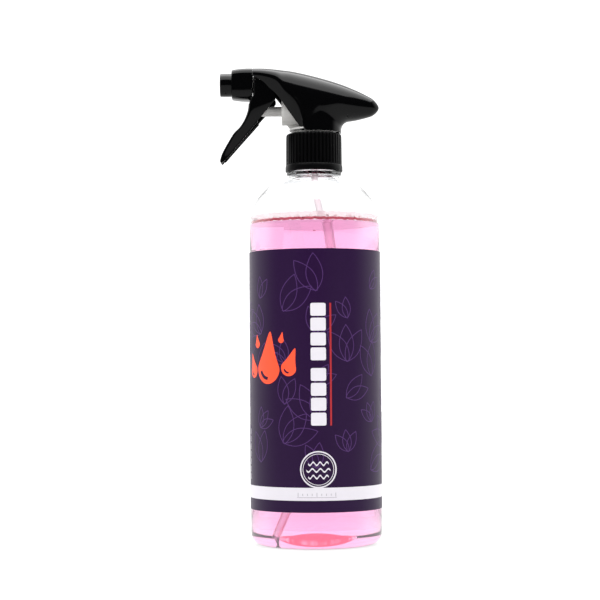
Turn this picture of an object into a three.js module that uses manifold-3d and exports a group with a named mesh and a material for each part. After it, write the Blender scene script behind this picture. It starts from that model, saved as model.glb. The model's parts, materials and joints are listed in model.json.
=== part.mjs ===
// A 750 ml trigger spray bottle of clay lubricant: a clear bottle with its wrap-around label and
// its liquid, and a black trigger sprayer screwed on its 28 mm neck. Millimetres, +Z up. The
// nozzle points along -X. The origin is the middle of the object's box, on the ground.
import * as THREE from 'three';
import { mergeVertices } from 'three/addons/utils/BufferGeometryUtils.js';
import Module from 'manifold-3d';

const wasm = await Module();
wasm.setup();

// Driving dimensions. Heights are above the ground, and X is from the bottle's axis.
const AXIS_X = 8.2; // where the bottle's axis stands in the object's box
const GAP = 0.3; // clearance kept between pieces that touch
const ROUND = 36; // sides of the bottle, label and liquid

const BODY_R = 37.0;
const WALL = 0.8;
const PANEL_R = 36.75; // the label panel is set back a little
const LABEL_R = 37.35;
const LABEL_BOTTOM = 20.6;
const LABEL_TOP = 165;
const FOOT_IN = 26.5;
const FOOT_OUT = 30;
const HEEL = 7;
const PUSH_UP = 6.2; // height of the pushed-up base in the middle
const SHOULDER = 178;
const NECK_R = 12.55;
const NECK_BORE = 10.9;
const RIM = 228;
const LIQUID_TOP = 185;

const THREAD_PITCH = 4.23;
const THREAD_TURNS = 1.25;
const NECK_THREAD_START = 217.4;

const SKIRT_BOTTOM = 211.6;
const CLOSURE_TOP = 232.7;
const CLOSURE_ROOF = 1.85;
const SKIRT_R = 16.3;
const SKIRT_BORE = 14.35;
const RIBS = 45;
const RIB_BOTTOM = 214.6;
const RIB_TOP = 231.6;

const STEM_R = 6;
const PLUG_BORE = 4.3;
const DISC_R = 14;
const DISC_HALF = 12.4; // the disc is flattened where the shroud's cheeks pass it
const DISC_BOTTOM = 234.6;

const BARREL_Z = 245.9; // axis of the pump's barrel
const BARREL_R = 8;
const BARREL_BORE = 6.6;
const BARREL_FRONT = -18.2;
const BARREL_BACK = -4.5;

const JET_Z = 261.2; // axis of the nozzle and of the channel that leads to it
const JET_R = 2.9;
const JET_BORE = 1.8;
const SPIGOT_R = 4.6;
const SPIGOT_FRONT = -45.6;
const RISER_X = -1.5; // the channel that climbs behind the barrel
const PLUG_HEAD = 2.5;

const PIVOT_X = -29.5;
const PIVOT_Z = 262;
const PIN_R = 1.5;
const TRIGGER_HALF = 10;
const TRIGGER_WALL = 1.2;
const PUSHER_X = -30.6; // the trigger's pusher, which bears on the piston rod
const PUSHER_R = 3;

const SEAM_X = -34.55; // front edge of the shroud
const SHROUD_WALL = 1.2;
const NOZZLE_BACK = -35.15;
const NOZZLE_STEP = -46.6;
const NOZZLE_FRONT = -53.3;
const NOZZLE_HALF = 9.2;
const NOZZLE_CORNER = 6;
const NOZZLE_FACE_R = 6.7;
const NOZZLE_BORE = 6.4;
const ORIFICE_R = 0.6;

const TUBE_R = 2;
const TUBE_BORE = 1.4;

// Materials
const plain = (color, roughness) => new THREE.MeshStandardMaterial({
  color, roughness, metalness: 0,
});
const clear = (color, opacity, roughness) => new THREE.MeshStandardMaterial({
  color, opacity, roughness, metalness: 0, transparent: true,
});
const blackGloss = plain(0x0a0a0c, 0.18);
const blackSatin = plain(0x0c0c0d, 0.42);
const naturalPlastic = plain(0xe6e6e2, 0.35);
const palePlastic = plain(0xf1eef0, 0.4);
const sealFoam = plain(0xf4f2ee, 0.85);
const sealRubber = plain(0xd9d6cf, 0.6);
const clearBottle = clear(0xf7fbfc, 0.25, 0.05);
const pinkLiquid = clear(0xff9fd4, 0.8, 0.08);
const labelFilm = plain(0x32123f, 0.4);
const steel = new THREE.MeshStandardMaterial({ color: 0xb9bdc1, roughness: 0.3, metalness: 1 });

// Solids: every geometry is closed, with its shared corners merged and collapsed faces dropped.
function closed(geometry) {
  const bare = geometry.clone();
  bare.deleteAttribute('normal');
  bare.deleteAttribute('uv');
  const merged = mergeVertices(bare.index ? bare.toNonIndexed() : bare, 1e-4);
  const old = merged.index.array;
  const kept = [];
  for (let i = 0; i < old.length; i += 3) {
    const [a, b, c] = [old[i], old[i + 1], old[i + 2]];
    if (a !== b && b !== c && a !== c) kept.push(a, b, c);
  }
  merged.setIndex(kept);
  return merged;
}

function toManifold(geometry) {
  const g = closed(geometry);
  return new wasm.Manifold(new wasm.Mesh({
    numProp: 3,
    vertProperties: new Float32Array(g.attributes.position.array),
    triVerts: new Uint32Array(g.index.array),
  }));
}

function fromManifold(manifold) {
  const mesh = manifold.getMesh();
  const g = new THREE.BufferGeometry();
  g.setAttribute('position', new THREE.BufferAttribute(new Float32Array(mesh.vertProperties), 3));
  g.setIndex(new THREE.BufferAttribute(new Uint32Array(mesh.triVerts), 1));
  return g;
}

const combine = (how) => (first, ...rest) => fromManifold(
  rest.reduce((solid, next) => solid[how](toManifold(next)), toManifold(first)),
);
const join = combine('add');
const cut = combine('subtract');
const overlap = combine('intersect');

const v2 = (pairs) => pairs.map(([x, y]) => new THREE.Vector2(x, y));

// A turned shape about the bottle's axis, from a profile of [radius, height] going up its outside.
function turned(profile, sides = ROUND) {
  return new THREE.LatheGeometry(v2(profile), sides).rotateX(Math.PI / 2);
}

// A turned shape about an axis along X at height z, from a profile of [radius, distance from x].
// The profile goes towards +X on its outside.
function turnedAlongX(profile, z, sides = 24) {
  return new THREE.LatheGeometry(v2(profile), sides).rotateX(Math.PI / 2).rotateY(Math.PI / 2)
    .translate(0, 0, z);
}

const rod = (r, low, high) => [[0, low], [r, low], [r, high], [0, high]];
const ring = (inner, outer, low, high) => [
  [inner, low], [outer, low], [outer, high], [inner, high], [inner, low],
];
const upright = (r, low, high, x = 0, sides = 24) => turned(rod(r, low, high), sides)
  .translate(x, 0, 0);
const crosswise = (r, half, x, z, sides = 16) => upright(r, -half, half, 0, sides)
  .rotateX(Math.PI / 2).translate(x, 0, z);
const along = (r, low, high, z, sides = 24) => turnedAlongX(rod(r, low, high), z, sides);

const extruded = (shape, depth) => new THREE.ExtrudeGeometry(shape, { depth, bevelEnabled: false });

// An outline of [x, z] points seen from the side, as thick as its half width on either side.
function sidePlate(outline, half) {
  return extruded(new THREE.Shape(v2(outline)), 2 * half)
    .rotateX(Math.PI / 2).translate(0, half, 0);
}

const box = (x0, x1, y0, y1, z0, z1) => new THREE.BoxGeometry(x1 - x0, y1 - y0, z1 - z0)
  .translate((x0 + x1) / 2, (y0 + y1) / 2, (z0 + z1) / 2);

const curve = (points, steps) => new THREE.SplineCurve(v2(points)).getPoints(steps)
  .map((p) => [p.x, p.y]);

function arc(cx, cy, r, from, to, steps) {
  return Array.from({ length: steps + 1 }, (_, i) => {
    const a = THREE.MathUtils.degToRad(from + ((to - from) * i) / steps);
    return [cx + r * Math.cos(a), cy + r * Math.sin(a)];
  });
}

class Helix extends THREE.Curve {
  constructor(radius, start, pitch, turns) {
    super();
    Object.assign(this, { radius, start, pitch, turns });
  }

  getPoint(t) {
    const a = 2 * Math.PI * this.turns * t;
    return new THREE.Vector3(
      this.radius * Math.cos(a),
      this.radius * Math.sin(a),
      this.start + this.pitch * this.turns * t,
    );
  }
}

function helix(radius, thick, start, pitch, turns, stepsPerTurn, sides = 8) {
  const section = new THREE.Shape(v2(arc(0, 0, thick, 0, 360 - 360 / sides, sides - 1)));
  return new THREE.ExtrudeGeometry(section, {
    steps: Math.round(turns * stepsPerTurn),
    extrudePath: new Helix(radius, start, pitch, turns),
  });
}

// The bottle. The pushed-up base is a dome, whose inner side ends a little above the foot ring.
const dome = (top, out, foot = 0) => Array.from({ length: 5 }, (_, i) => {
  const t = i / 4;
  return [out * t, i === 4 ? foot : top * (1 - t * t)];
});

const shoulderCurve = (inset) => curve([
  [BODY_R - inset, SHOULDER], [36.4 - inset, 185], [33.4 - inset, 193.8 - inset / 2],
  [28.4 - inset, 200.4 - inset], [21.5 - inset, 206.4 - inset], [15.4, 208.9 - inset],
], 8);

function bottle() {
  const outside = [
    ...dome(PUSH_UP, FOOT_IN),
    ...arc(FOOT_OUT, HEEL, HEEL, -90, 0, 4),
    [BODY_R, LABEL_BOTTOM - 0.8], [PANEL_R, LABEL_BOTTOM - 0.4],
    [PANEL_R, LABEL_TOP + 0.4], [BODY_R, LABEL_TOP + 0.8],
    ...shoulderCurve(0),
    [15.4, 210.6], [13.4, 211.2], [NECK_R, 212.4], [NECK_R, RIM],
  ];
  const inside = [
    [NECK_BORE, RIM], [NECK_BORE, 209.5], [13, 208.2],
    ...shoulderCurve(WALL).reverse().slice(1),
    ...arc(FOOT_OUT - 0.2, HEEL + 1, HEEL - 0.6, 0, -90, 4),
    ...dome(PUSH_UP + 1.2, FOOT_IN, 1.9).reverse(),
  ];
  const shell = turned([...outside, ...inside]);
  const thread = helix(NECK_R + 0.1, 1.1, NECK_THREAD_START, THREAD_PITCH, THREAD_TURNS, 20);
  return join(shell, thread);
}

// The label, a film wrapped right round the bottle
function label() {
  return turned(ring(LABEL_R - 0.3, LABEL_R, LABEL_BOTTOM, LABEL_TOP));
}

// The dip tube bows in the bottle and ends low in the heel, towards the nozzle
const tubeRoute = new THREE.CatmullRomCurve3([
  [0, 0, 229.2], [0, 0, 218], [1, 1.5, 200], [5.8, 7, 178], [9.5, 10, 152],
  [10.5, 8, 115], [6, 0, 75], [-6, -10, 36], [-20.3, -15, 5.2],
].map((p) => new THREE.Vector3(...p)));

function alongTube(outer, bore) {
  const section = new THREE.Shape(v2(arc(0, 0, outer, 0, 315, 7)));
  if (bore) section.holes.push(new THREE.Path(v2(arc(0, 0, bore, 0, 315, 7))));
  return new THREE.ExtrudeGeometry(section, { steps: 24, extrudePath: tubeRoute });
}

const dipTube = () => alongTube(TUBE_R, TUBE_BORE);

// The liquid fills the bottle to its level and leaves room for the dip tube
function liquid() {
  const inset = WALL + GAP;
  const profile = [
    ...dome(PUSH_UP + 1.2 + GAP, FOOT_IN, 1.9),
    ...arc(FOOT_OUT - 0.4, HEEL + 1.2, HEEL - 0.9, -90, 0, 4),
    [BODY_R - inset, SHOULDER], [36.2 - inset, LIQUID_TOP], [0, LIQUID_TOP],
  ];
  return cut(turned(profile), alongTube(TUBE_R + GAP, 0));
}

// The closure: a ribbed screw cap with a hole in its roof for the pump's neck
function closure() {
  const roofUnder = CLOSURE_TOP - CLOSURE_ROOF;
  const shell = turned([
    [SKIRT_BORE, SKIRT_BOTTOM], [SKIRT_R, SKIRT_BOTTOM], [SKIRT_R - 0.1, SKIRT_BOTTOM + 3],
    [SKIRT_R - 0.6, SKIRT_BOTTOM + 3.2], [15.05, CLOSURE_TOP - 1.5],
    ...arc(13.75, CLOSURE_TOP - 1.3, 1.3, 15, 90, 2),
    [10.1, CLOSURE_TOP], [10.1, roofUnder], [SKIRT_BORE, roofUnder], [SKIRT_BORE, SKIRT_BOTTOM],
  ]);
  const ribOutline = Array.from({ length: 2 * RIBS }, (_, i) => {
    const r = i % 2 ? 15.95 : 14.55;
    return [r * Math.cos((Math.PI * i) / RIBS), r * Math.sin((Math.PI * i) / RIBS)];
  });
  const ribShape = new THREE.Shape(v2(ribOutline));
  ribShape.holes.push(new THREE.Path(v2(arc(0, 0, 14.45, 0, 350, ROUND - 1))));
  const ribBand = extruded(ribShape, RIB_TOP - RIB_BOTTOM).translate(0, 0, RIB_BOTTOM);
  const threadStart = NECK_THREAD_START + THREAD_PITCH / 2;
  const thread = helix(SKIRT_BORE, 1, threadStart, THREAD_PITCH, THREAD_TURNS, 20);
  const withinSkirt = upright(SKIRT_R - 0.8, SKIRT_BOTTOM + 0.1, CLOSURE_TOP, 0, ROUND);
  return join(shell, ribBand, overlap(thread, withinSkirt));
}

// The soft washer between the neck's rim and the tube retainer
const neckGasket = () => turned(ring(8.7, 13.3, RIM + 0.2, RIM + 1.4), 32);

// The retainer holds the dip tube below and plugs into the pump's stem above. Its top is the
// seat of the inlet ball.
const RETAINER_FLANGE = RIM + 1.6;
const SEAT_Z = 238;

function tubeRetainer() {
  const socket = TUBE_R + GAP;
  return turned([
    [socket, 219], [3.8, 219], [3.8, 226], [8.3, 227.5], [8.3, RETAINER_FLANGE],
    [13.3, RETAINER_FLANGE], [13.3, RETAINER_FLANGE + 1], [4, RETAINER_FLANGE + 1], [4, SEAT_Z],
    [1.9, SEAT_Z], [1.1, SEAT_Z - 1], [1.1, 231], [socket, 230], [socket, 219],
  ], 32);
}

// The two check valves' balls, each just over its seat
const OUTLET_SEAT = 253;
const ball = (r, x, z) => new THREE.SphereGeometry(r, 12, 8).translate(x, 0, z);
const inletBall = () => ball(1.6, 0, SEAT_Z + 0.95);
const outletBall = () => ball(1.3, RISER_X, OUTLET_SEAT + 1.55);

// The pump body: neck, disc, stem, barrel and the channel to the nozzle, moulded in one
function pumpBody() {
  const neckBottom = RETAINER_FLANGE + 1 + GAP;
  const disc = overlap(
    upright(DISC_R, DISC_BOTTOM, DISC_BOTTOM + 0.9, 0, 32),
    box(-DISC_R, DISC_R, -DISC_HALF, DISC_HALF, DISC_BOTTOM - 1, DISC_BOTTOM + 2),
  );
  const outside = join(
    disc,
    turned([
      [0, neckBottom], [9.7, neckBottom], [9.7, DISC_BOTTOM + 0.5], [8.2, DISC_BOTTOM + 1.3],
      [STEM_R, DISC_BOTTOM + 3], [STEM_R, 257], [4.4, 259.5], [0, 259.5],
    ], 32),
    along(BARREL_R, BARREL_FRONT, -2, BARREL_Z, 32),
    along(JET_R, SEAM_X + 0.1, 2, JET_Z),
    along(SPIGOT_R, SPIGOT_FRONT, SEAM_X + 1.6, JET_Z),
    sidePlate([[-26, 259], [-26, 261], [-4, 261], [-4, 249], [-8, 252]], 1),
    sidePlate([[-13, DISC_BOTTOM + 0.5], [-17, 240], [-4, 244], [-4, DISC_BOTTOM + 0.5]], 1),
    crosswise(PIN_R, TRIGGER_HALF - 0.1, PIVOT_X, PIVOT_Z),
  );
  return cut(
    outside,
    upright(PLUG_BORE, neckBottom - 1, SEAT_Z + GAP),
    upright(2.2, SEAT_Z - 1, 243, 0, 16),
    along(1, BARREL_BACK - 1, 0, 241.5, 12),
    along(BARREL_BORE, BARREL_FRONT - 1, BARREL_BACK, BARREL_Z, 32),
    upright(1.1, 241, OUTLET_SEAT + 1, RISER_X + 0.4, 12),
    upright(1.9, OUTLET_SEAT, JET_Z, RISER_X, 16),
    along(JET_BORE, SPIGOT_FRONT + 6, 3, JET_Z, 16),
    along(2.6, SPIGOT_FRONT - 1, SPIGOT_FRONT + 7, JET_Z, 16),
    along(PLUG_HEAD + GAP, 2, STEM_R + 1, JET_Z, 16),
  );
}

// The plug that closes the back of the channel
const channelPlug = () => turnedAlongX([
  [0, 0.7], [JET_BORE - 0.25, 0.7], [JET_BORE - 0.25, 2.3], [PLUG_HEAD, 2.3], [PLUG_HEAD, 3.1],
  [0, 3.1],
], JET_Z, 16);

// The piston: a hollow rod that the trigger pushes, with a grooved head for its two lip rings.
// The front ring pumps, and the back one shuts the barrel's mouth at rest.
const ROD_R = 2.85;
const HEAD_R = 6.1;
const GROOVE_R = 4.6;
const SPRING_FRONT = -28.2;

function piston() {
  return turnedAlongX([
    [0, PUSHER_X + GAP], [1.9, PUSHER_X + GAP], [ROD_R, PUSHER_X + 1.3], [ROD_R, -18],
    [HEAD_R, -17.8], [HEAD_R, -17.3], [GROOVE_R, -17.3], [GROOVE_R, -15.3],
    [HEAD_R, -15.3], [HEAD_R, -14.8], [GROOVE_R, -14.8], [GROOVE_R, -12.6],
    [HEAD_R, -12.6], [HEAD_R, -12.1], [2.3, -12.1], [2.3, SPRING_FRONT - GAP],
    [0, SPRING_FRONT - GAP],
  ], BARREL_Z);
}

const lipRing = (back, front) => turnedAlongX([
  [4.9, back], [5.9, back], [6.4, back + 0.4], [6.4, front - 0.4], [5.9, front], [4.9, front],
  [4.9, back],
], BARREL_Z);
const pistonSeal = () => lipRing(-14.5, -12.9);
const backSeal = () => lipRing(-17, -15.6);

function returnSpring() {
  const wire = 0.3;
  const turns = 9;
  const length = BARREL_BACK - SPRING_FRONT - 2 * wire - GAP;
  return helix(1.75, wire, 0, length / turns, turns, 9, 5)
    .rotateY(Math.PI / 2).translate(SPRING_FRONT + wire, 0, BARREL_Z);
}

// The trigger: a channel open at the back, with a hole in each cheek for the pin and a rounded
// pusher inside, on a brace
function trigger() {
  const front = curve([
    [-53.8, 217], [-52, 222.3], [-49.4, 226.8], [-46.6, 231.3], [-42.6, 235.5],
    [-39.2, 240.6], [-37.2, 246], [-36.6, 250.4],
  ], 16);
  const backTop = [-21.2, 251.8];
  const outline = [
    ...front, [-34.5, 253.4], [-34.5, 262],
    ...arc(PIVOT_X, PIVOT_Z, 4.4, 155, 0, 6), [-23, 256.5], backTop,
    [-51.7, 216.1], [-52.6, 215.8],
  ];
  const inner = front.slice(2).map(([x, z]) => [x + 1.7, z - 0.4]);
  const back = [[-15, 256.4], [-49.2, 216.9]];
  const hollow = sidePlate(
    [...inner, [-38, 253], [-38, 270], [-15, 270], ...back],
    TRIGGER_HALF - TRIGGER_WALL,
  );
  const nose = arc(PUSHER_X - PUSHER_R, BARREL_Z, PUSHER_R, -75, 75, 6);
  const pusher = sidePlate(nose, TRIGGER_HALF - TRIGGER_WALL / 2);
  const brace = box(-36.6, PUSHER_X - 1.8, -0.8, 0.8, BARREL_Z - 2.8, BARREL_Z + 2.8);
  const shell = join(cut(sidePlate(outline, TRIGGER_HALF), hollow), pusher, brace);
  const pinHole = crosswise(PIN_R + GAP, TRIGGER_HALF + 1, PIVOT_X, PIVOT_Z);
  const nozzleSweep = along(11.6, -40, SEAM_X + 0.05, JET_Z, 32);
  return cut(shell, pinHole, nozzleSweep);
}

// The shroud: a teardrop shell over the pump, open in front and below
const ROOF_LINE = [
  [SEAM_X, 270.4], [-22, 270], [-13.5, 269], [-2, 266.5], [10.4, 263], [22.7, 258.4],
  [31.3, 253.8], [36, 250],
];
const FRONT_EDGE = [
  [15.6, 233.3], [-4.4, 233.3], [-7.6, 235.3], [-13.7, 243.9], [-20.4, 253.6], [-31.7, 263.9],
  [SEAM_X, 265.4],
];
const BELLY_LINE = [[30.5, 242.2], [22.7, 240.2], [17.6, 238], [15.6, 234.6]];
const PLAN = [
  [SEAM_X, 11.7], [-22, 12.8], [-8, 14.3], [4, 14.2], [16, 11.6], [27, 7.4], [35, 3.9],
];
const TAIL_X = 34.2;

// The shroud's outer solid, or with shrink its hollow, which runs out in front and below
function shroudSolid(shrink) {
  const roof = curve(ROOF_LINE, 14).map(([x, z]) => [x, z - shrink]);
  const tail = arc(TAIL_X - shrink, 247.9, 3.1, 30, -80, 4);
  const bellyInset = BELLY_LINE.map(([x, z], i) => (i < 2 ? [x, z + shrink] : [x - shrink, z]));
  const belly = curve(bellyInset, 7);
  const [backX] = belly.at(-1);
  const mouth = shrink ? [[backX, 225], [-60, 225], [-60, roof[0][1]]] : FRONT_EDGE;
  const side = [...roof.slice(0, -1), ...tail, ...belly, ...mouth].reverse();
  const edge = curve(PLAN, 12).map(([x, y]) => [x, y - shrink]);
  const tip = arc(TAIL_X - shrink, 0, 3.3, 65, -65, 4);
  const half = [...(shrink ? [[-60, edge[0][1]]] : []), ...edge.slice(0, -1)];
  const plan = [...half, ...tip, ...half.map(([x, y]) => [x, -y]).reverse()].reverse();
  const planBlock = extruded(new THREE.Shape(v2(plan)), 60).translate(0, 0, 220);
  return overlap(sidePlate(side, 20), planBlock);
}

const shroud = () => cut(shroudSolid(0), shroudSolid(SHROUD_WALL));

// The nozzle cap: a rounded square behind a round front, screwed over the spigot
function nozzleCap() {
  const reach = NOZZLE_HALF - NOZZLE_CORNER;
  const square = new THREE.Shape(v2([
    ...arc(reach, reach, NOZZLE_CORNER, 0, 90, 4),
    ...arc(-reach, reach, NOZZLE_CORNER, 90, 180, 4),
    ...arc(-reach, -reach, NOZZLE_CORNER, 180, 270, 4),
    ...arc(reach, -reach, NOZZLE_CORNER, 270, 360, 4),
  ]));
  const grip = extruded(square, NOZZLE_BACK - NOZZLE_STEP)
    .rotateY(Math.PI / 2).translate(NOZZLE_STEP, 0, JET_Z);
  const front = turnedAlongX([
    [0, NOZZLE_FRONT], [NOZZLE_FACE_R - 0.4, NOZZLE_FRONT], [NOZZLE_FACE_R, NOZZLE_FRONT + 0.4],
    [NOZZLE_FACE_R, NOZZLE_STEP + 1], [0, NOZZLE_STEP + 1],
  ], JET_Z);
  const recess = turnedAlongX([
    [0, NOZZLE_FRONT - 1], [4.4, NOZZLE_FRONT - 1], [2.2, NOZZLE_FRONT + 2.5],
    [0, NOZZLE_FRONT + 2.5],
  ], JET_Z);
  return cut(
    join(grip, front),
    along(NOZZLE_BORE, NOZZLE_STEP - 0.4, NOZZLE_BACK + 1, JET_Z),
    along(ORIFICE_R, NOZZLE_FRONT - 1, NOZZLE_STEP + 1, JET_Z, 12),
    recess,
  );
}

const nozzleSeal = () => turnedAlongX(ring(1.2, 6, NOZZLE_STEP - 0.1, SPIGOT_FRONT - GAP), JET_Z);

// The spinner: a slotted core in the spigot that swirls the liquid behind the orifice
function spinner() {
  const core = turnedAlongX([
    [0, SPIGOT_FRONT], [2.3, SPIGOT_FRONT], [2.3, SPIGOT_FRONT + 1.8], [1.3, SPIGOT_FRONT + 2.2],
    [1.3, SPIGOT_FRONT + 6], [0, SPIGOT_FRONT + 6],
  ], JET_Z, 16);
  const slots = [0, 60, 120].map((deg) => box(
    SPIGOT_FRONT - 1, SPIGOT_FRONT + 1.2, -3, 3, -0.3, 0.3,
  ).rotateX(THREE.MathUtils.degToRad(deg)).translate(0, 0, JET_Z));
  return cut(core, ...slots);
}

// The object, with every sub-part a named mesh about the bottle's axis
const sprayBottle = new THREE.Group();
sprayBottle.position.x = AXIS_X;

const pieces = [
  ['bottle', bottle, clearBottle],
  ['label', label, labelFilm],
  ['clay_lubricant', liquid, pinkLiquid],
  ['closure', closure, blackSatin],
  ['neck_gasket', neckGasket, sealFoam],
  ['tube_retainer', tubeRetainer, palePlastic],
  ['dip_tube', dipTube, palePlastic],
  ['inlet_ball', inletBall, steel],
  ['outlet_ball', outletBall, steel],
  ['pump_body', pumpBody, naturalPlastic],
  ['channel_plug', channelPlug, palePlastic],
  ['piston', piston, naturalPlastic],
  ['piston_seal', pistonSeal, sealRubber],
  ['back_seal', backSeal, sealRubber],
  ['return_spring', returnSpring, steel],
  ['trigger', trigger, blackGloss],
  ['shroud', shroud, blackGloss],
  ['nozzle_cap', nozzleCap, blackGloss],
  ['nozzle_seal', nozzleSeal, sealRubber],
  ['spinner', spinner, palePlastic],
];

for (const [name, make, material] of pieces) {
  const piece = new THREE.Mesh(closed(make()), material);
  piece.name = name;
  sprayBottle.add(piece);
}

export default sprayBottle;
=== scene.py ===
import json
import math

import bmesh
import bpy
from mathutils import Matrix, Vector

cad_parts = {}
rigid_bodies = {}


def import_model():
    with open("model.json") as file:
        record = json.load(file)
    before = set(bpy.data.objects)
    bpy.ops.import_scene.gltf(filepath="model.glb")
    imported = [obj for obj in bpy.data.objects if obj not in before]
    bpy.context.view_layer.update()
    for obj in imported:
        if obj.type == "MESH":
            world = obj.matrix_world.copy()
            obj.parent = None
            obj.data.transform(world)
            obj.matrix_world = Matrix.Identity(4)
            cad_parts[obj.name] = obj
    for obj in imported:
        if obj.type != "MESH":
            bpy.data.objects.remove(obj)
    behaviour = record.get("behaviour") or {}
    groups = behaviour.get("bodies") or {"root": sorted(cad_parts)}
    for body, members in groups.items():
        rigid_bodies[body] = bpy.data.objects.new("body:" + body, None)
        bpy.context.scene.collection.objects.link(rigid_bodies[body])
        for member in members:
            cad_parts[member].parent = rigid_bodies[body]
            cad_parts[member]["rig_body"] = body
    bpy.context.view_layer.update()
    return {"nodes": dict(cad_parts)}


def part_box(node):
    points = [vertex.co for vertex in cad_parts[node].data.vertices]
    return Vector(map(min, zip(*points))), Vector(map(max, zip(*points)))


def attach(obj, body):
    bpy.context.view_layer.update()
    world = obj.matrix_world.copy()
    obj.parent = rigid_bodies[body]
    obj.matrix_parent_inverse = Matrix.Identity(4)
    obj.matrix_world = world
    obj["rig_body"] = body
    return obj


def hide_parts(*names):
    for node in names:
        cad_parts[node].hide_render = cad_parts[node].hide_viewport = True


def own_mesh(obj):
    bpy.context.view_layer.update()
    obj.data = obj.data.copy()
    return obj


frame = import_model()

MM = 0.001
label_low, label_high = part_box("label")
AXIS = (label_low.x + label_high.x) / 2


# ---------------------------------------------------------------------------------------------
# The studio: a pale floor, a bright wall behind and to the sides, a dark room in front, and two
# soft boxes. The camera stands about a metre off, low, and looks slightly up at the bottle.
CAMERA_DISTANCE = 967 * MM
CAMERA_HEIGHT = 98.3 * MM
CAMERA_PITCH = 2.36
CAMERA_ROLL = -0.4
CAMERA_LENS = 102.1

camera = bpy.data.objects.new("camera", bpy.data.cameras.new("camera"))
camera.data.lens = CAMERA_LENS
camera.data.sensor_width = 36
camera.data.clip_start = 0.01
camera.matrix_world = (
    Matrix.Translation((AXIS - 8.5 * MM, -CAMERA_DISTANCE, CAMERA_HEIGHT))
    @ Matrix.Rotation(math.radians(90 + CAMERA_PITCH), 4, "X")
    @ Matrix.Rotation(math.radians(CAMERA_ROLL), 4, "Z")
)
bpy.context.scene.collection.objects.link(camera)
bpy.context.scene.camera = camera
bpy.context.scene.view_settings.view_transform = "Standard"


def soft_box(name, place, aim, size, power):
    data = bpy.data.lights.new(name, "AREA")
    data.shape = "RECTANGLE"
    data.size, data.size_y = size
    data.energy = power
    light = bpy.data.objects.new(name, data)
    towards = Vector(aim) - Vector(place)
    light.matrix_world = (
        Matrix.Translation(place) @ towards.to_track_quat("-Z", "Y").to_matrix().to_4x4()
    )
    bpy.context.scene.collection.objects.link(light)
    return light


# A wide box overhead, and two at the front sides that light the label. Those two don't show in
# the gloss or through the liquid.
soft_box("overhead", (0, 0.0, 1.05), (0, 0.0, 0.2), (1.5, 1.25), 30)
for side in (-1, 1):
    front = soft_box("front_side", (0.75 * side, -0.75, 0.45), (0, 0, 0.13), (0.5, 0.8), 5)
    front.visible_glossy = False
    front.visible_transmission = False

world = bpy.data.worlds.new("studio")
world.use_nodes = True
tree = world.node_tree
way = tree.nodes.new("ShaderNodeTexCoord")
parts = tree.nodes.new("ShaderNodeSeparateXYZ")
depth = tree.nodes.new("ShaderNodeMapRange")
depth.interpolation_type = "SMOOTHSTEP"
depth.inputs["From Min"].default_value = -0.35
depth.inputs["From Max"].default_value = 0.22
depth.inputs["To Min"].default_value = 0.02
depth.inputs["To Max"].default_value = 1.4
tree.links.new(way.outputs["Generated"], parts.inputs[0])
tree.links.new(parts.outputs["Y"], depth.inputs["Value"])
tree.links.new(depth.outputs[0], tree.nodes["Background"].inputs["Strength"])
tree.nodes["Background"].inputs["Color"].default_value = (1, 1, 1, 1)
bpy.context.scene.world = world


def new_object(name, mesh, material):
    piece = bpy.data.objects.new(name, mesh)
    mesh.materials.append(material)
    bpy.context.scene.collection.objects.link(piece)
    return piece


def base_material(name, colour, roughness, **settings):
    """A Principled material, with its shader node, to which each section adds its own detail."""
    made = bpy.data.materials.new(name)
    made.use_nodes = True
    shader = made.node_tree.nodes["Principled BSDF"]
    shader.inputs["Base Color"].default_value = (*colour, 1)
    shader.inputs["Roughness"].default_value = roughness
    for socket, value in settings.items():
        shader.inputs[socket.replace("_", " ")].default_value = value
    return made, shader


FLOOR_R = 3.0
FLOOR_GLOW = 0.82
floor_mesh = bpy.data.meshes.new("floor")
bm = bmesh.new()
bmesh.ops.create_circle(bm, cap_ends=True, segments=96, radius=FLOOR_R)
bm.to_mesh(floor_mesh)
floor_material, shader = base_material("pale_floor", (0.14, 0.14, 0.14), 0.7)
shader.inputs["Emission Color"].default_value = (1, 1, 1, 1)
shader.inputs["Emission Strength"].default_value = FLOOR_GLOW
floor = new_object("floor", floor_mesh, floor_material)


# ---------------------------------------------------------------------------------------------
# The bottle: stretch-blown clear PET with a threaded 28 mm neck, a domed shoulder, a set-back
# label panel and a pushed-up base. The wall is turned in one profile and the thread is a ridge
# spun up the neck.
BODY_R = 37.0 * MM
PANEL_R = 36.75 * MM
WALL = 0.7 * MM
FOOT_IN = 26.5 * MM
FOOT_OUT = 30.0 * MM
HEEL = 7.0 * MM
PUSH_UP = 4.4 * MM
NECK_R = 12.55 * MM
NECK_BORE = 10.9 * MM
LABEL_BOTTOM = label_low.z
LABEL_TOP = label_high.z
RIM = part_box("bottle")[1].z
THREAD_PITCH = 4.23 * MM
THREAD_START = 217.4 * MM
THREAD_TURNS = 1.25
THREAD_STEPS = 60
THREAD_RIDGE = [  # (out from the neck, up)
    (-0.1, -1.0), (0.75, -0.7), (1.15, 0), (0.75, 0.7), (-0.1, 1.0),
]
INNER_PUSH_UP = PUSH_UP + 1.2 * MM
INNER_FOOT_IN = FOOT_IN + 0.4 * MM
BOTTLE_SIDES = 144


def arc(cx, cz, radius, start, stop, steps):
    turn = [math.radians(start + (stop - start) * i / steps) for i in range(steps + 1)]
    return [(cx + radius * math.cos(a), cz + radius * math.sin(a)) for a in turn]


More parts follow.
